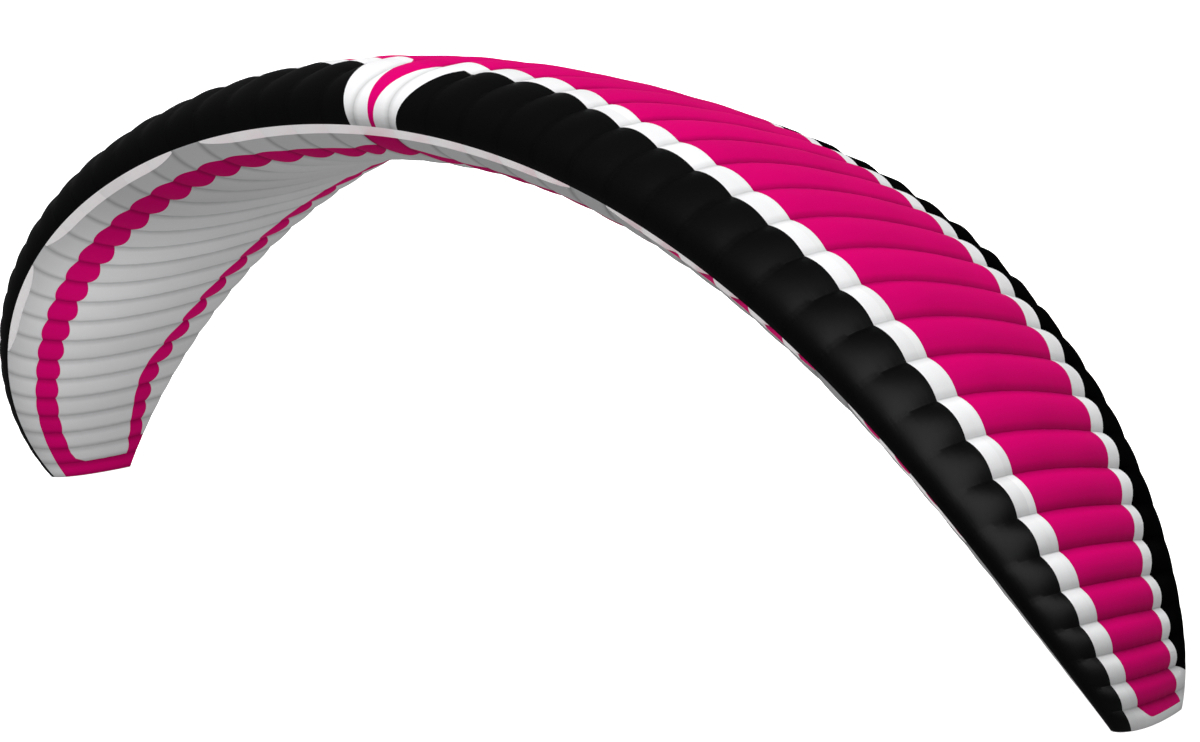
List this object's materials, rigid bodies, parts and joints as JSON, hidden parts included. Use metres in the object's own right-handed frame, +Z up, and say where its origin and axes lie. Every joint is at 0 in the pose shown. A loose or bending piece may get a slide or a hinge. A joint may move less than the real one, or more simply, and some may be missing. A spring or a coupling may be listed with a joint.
{
  "type": "paraglider wing",
  "caption": "Inflated ram-air paraglider canopy: an arch of billowed cloth cells over aerofoil ribs, with air slots under the nose, standing on its level tip panels.",
  "frame": {"origin": "on the surface that the tips stand on, under the middle of the canopy's box", "axes": "+X along the span to the right tip seen from the front, +Y from the leading edge to the trailing edge, +Z up to the crown of the arch"},
  "size_m": [9.92, 2.4371, 3.2974],
  "materials": {
    "black_ripstop": "coated ripstop nylon, satin",
    "white_ripstop": "coated ripstop nylon, satin",
    "magenta_ripstop": "coated ripstop nylon, satin",
    "rib_cloth": "uncoated ripstop nylon, matt"
  },
  "bodies": {
    "root": {"nose_band_left_tip": "black_ripstop", "nose_band_left_mid": "black_ripstop", "nose_band_left_inner": "black_ripstop", "nose_band_right_inner": "black_ripstop", "nose_band_right_mid": "black_ripstop", "nose_band_right_tip": "black_ripstop", "upper_white_border": "white_ripstop", "upper_magenta_left_tip": "magenta_ripstop", "upper_magenta_left_mid": "magenta_ripstop", "upper_magenta_middle": "magenta_ripstop", "upper_magenta_right_mid": "magenta_ripstop", "upper_magenta_right_tip": "magenta_ripstop", "upper_rear_edge": "black_ripstop", "lower_front_left_tip": "white_ripstop", "lower_front_left_mid": "white_ripstop", "lower_front_right_mid": "white_ripstop", "lower_front_right_tip": "white_ripstop", "lower_magenta_stripes": "magenta_ripstop", "lower_broad_left_tip": "white_ripstop", "lower_broad_left_mid": "white_ripstop", "lower_broad_middle": "white_ripstop", "lower_broad_right_mid": "white_ripstop", "lower_broad_right_tip": "white_ripstop", "lower_rear": "white_ripstop", "rib_left_01": "rib_cloth", "rib_left_02": "rib_cloth", "rib_left_03": "rib_cloth", "rib_left_04": "rib_cloth", "rib_left_05": "rib_cloth", "rib_left_06": "rib_cloth", "rib_left_07": "rib_cloth", "rib_left_08": "rib_cloth", "rib_left_09": "rib_cloth", "rib_left_10": "rib_cloth", "rib_left_11": "rib_cloth", "rib_left_12": "rib_cloth", "rib_left_13": "rib_cloth", "rib_left_14": "rib_cloth", "rib_left_15": "rib_cloth", "rib_left_16": "rib_cloth", "rib_left_17": "rib_cloth", "rib_right_01": "rib_cloth", "rib_right_02": "rib_cloth", "rib_right_03": "rib_cloth", "rib_right_04": "rib_cloth", "rib_right_05": "rib_cloth", "rib_right_06": "rib_cloth", "rib_right_07": "rib_cloth", "rib_right_08": "rib_cloth", "rib_right_09": "rib_cloth", "rib_right_10": "rib_cloth", "rib_right_11": "rib_cloth", "rib_right_12": "rib_cloth", "rib_right_13": "rib_cloth", "rib_right_14": "rib_cloth", "rib_right_15": "rib_cloth", "rib_right_16": "rib_cloth", "rib_right_17": "rib_cloth", "tip_panel_left": "rib_cloth", "tip_panel_right": "rib_cloth"}
  },
  "joints": []
}
